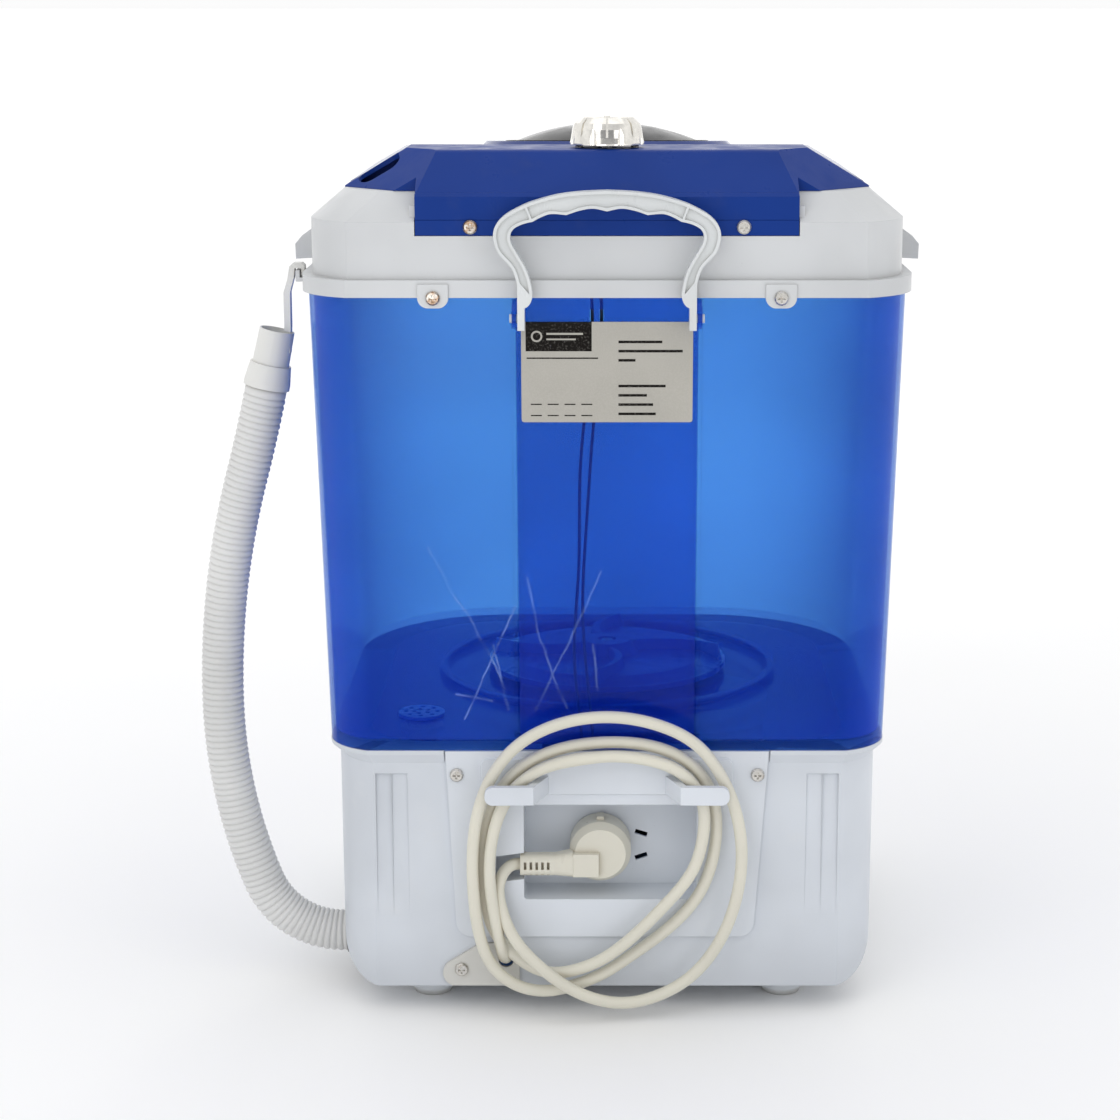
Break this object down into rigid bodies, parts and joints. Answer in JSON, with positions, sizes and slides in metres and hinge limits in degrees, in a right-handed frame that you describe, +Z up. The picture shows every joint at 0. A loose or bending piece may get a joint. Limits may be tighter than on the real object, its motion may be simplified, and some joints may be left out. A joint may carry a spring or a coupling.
{
  "type": "portable washing machine",
  "caption": "Portable single-tub mini washing machine with clear blue tub, hinged lid, timer knob, carry handle, drain hose and coiled mains cord",
  "frame": {"origin": "on the floor under the middle of the body", "axes": "+Z up, +Y out of the rear face with the handle and mains cord, +X towards the drain hose"},
  "size_m": [0.4315, 0.3637, 0.5254],
  "materials": {
    "white_abs": "satin injection-moulded",
    "white_base": "satin injection-moulded",
    "cover_blue": "semi-gloss moulded",
    "tub_blue": "transparent tinted",
    "duct_blue": "transparent tinted",
    "smoked_window": "smoked polycarbonate",
    "chrome_knob": "plated plastic",
    "screw_steel": "nickel plated",
    "steel": "turned",
    "label": "printed film, blank",
    "cord_ivory": "soft PVC",
    "plug_ivory": "moulded PVC",
    "clamp_grey": "moulded",
    "hose_white": "blow-moulded polyethylene",
    "foot_rubber": "soft white rubber",
    "rubber_black": "moulded",
    "wire_black": "insulated wire",
    "nickel_pin": "nickel plated",
    "motor_iron": "laminated, varnished",
    "motor_shell": "die cast",
    "bracket": "zinc plated",
    "pulley_black": "glass-filled nylon",
    "capacitor_white": "moulded can",
    "timer_grey": "moulded",
    "bronze": "sintered",
    "pulsator_blue": "moulded"
  },
  "bodies": {
    "cabinet": {"base_shell": "white_base", "base_plate": "white_base", "feet": "foot_rubber", "tub": "tub_blue", "drain_strainer": "pulsator_blue", "rear_duct_cover": "duct_blue", "duct_wires": "wire_black", "rating_label": "label", "top_frame": "white_abs", "control_cover": "cover_blue", "water_inlet": "duct_blue", "timer_body": "timer_grey", "timer_screws": "screw_steel", "service_panel": "white_base", "cord_clamp": "clamp_grey", "power_cord": "cord_ivory", "plug_body": "plug_ivory", "plug_pins": "nickel_pin", "service_panel_screws": "screw_steel", "clamp_screw": "screw_steel", "cover_screws": "screw_steel", "rim_screws": "screw_steel", "base_plate_screws": "screw_steel", "drain_elbow": "timer_grey", "drain_grommet": "rubber_black", "bearing_housing": "motor_shell", "shaft_bushes": "bronze", "shaft_seal": "rubber_black", "bearing_screws": "screw_steel", "motor_stator": "motor_iron", "motor_end_bells": "motor_shell", "motor_mount_grommets": "rubber_black", "motor_bracket": "bracket", "motor_screws": "screw_steel", "drive_belt": "rubber_black", "run_capacitor": "capacitor_white", "capacitor_clip": "timer_grey"},
    "hose_assembly": {"drain_hose": "hose_white", "hose_cuff": "hose_white"},
    "pulsator_drive": {"pulsator": "pulsator_blue", "pulsator_screw": "screw_steel", "drive_shaft": "steel", "driven_pulley": "pulley_black"},
    "motor_armature": {"motor_rotor": "motor_iron", "motor_shaft": "steel", "motor_pulley": "pulley_black"},
    "lid_assembly": {"lid": "cover_blue", "lid_window": "smoked_window", "lid_hinge_pins": "steel"},
    "timer_control": {"timer_knob": "chrome_knob", "timer_shaft": "steel"},
    "handle": {"carry_handle": "white_abs"}
  },
  "joints": [
    {"name": "lid_hinge", "type": "hinge", "parent": "cabinet", "child": "lid_assembly", "pos_m": [0, 0.0825, 0.5043], "axis": [-1, 0, 0], "range_deg": [0, 90]},
    {"name": "knob_turn", "type": "hinge", "parent": "cabinet", "child": "timer_control", "pos_m": [0, 0.114, 0.51], "axis": [0, 0, -1], "range_deg": [0, 300]},
    {"name": "handle_swing", "type": "hinge", "parent": "cabinet", "child": "handle", "pos_m": [0, 0.182, 0.417], "axis": [-1, 0, 0], "range_deg": [0, 175]},
    {"name": "hose_swing", "type": "hinge", "parent": "cabinet", "child": "hose_assembly", "pos_m": [0.156, 0.11, 0.03], "axis": [-1, 0, 0], "range_deg": [0, 90]},
    {"name": "pulsator_spin", "type": "hinge", "parent": "cabinet", "child": "pulsator_drive", "pos_m": [0, 0, 0.1], "axis": [0, 0, 1], "continuous": true},
    {"name": "motor_spin", "type": "hinge", "parent": "cabinet", "child": "motor_armature", "pos_m": [-0.062, -0.062, 0.1], "axis": [0, 0, 1], "continuous": true}
  ],
  "couplings": [
    {"joint": "motor_spin", "follows": "pulsator_spin", "ratio": 5.32}
  ]
}
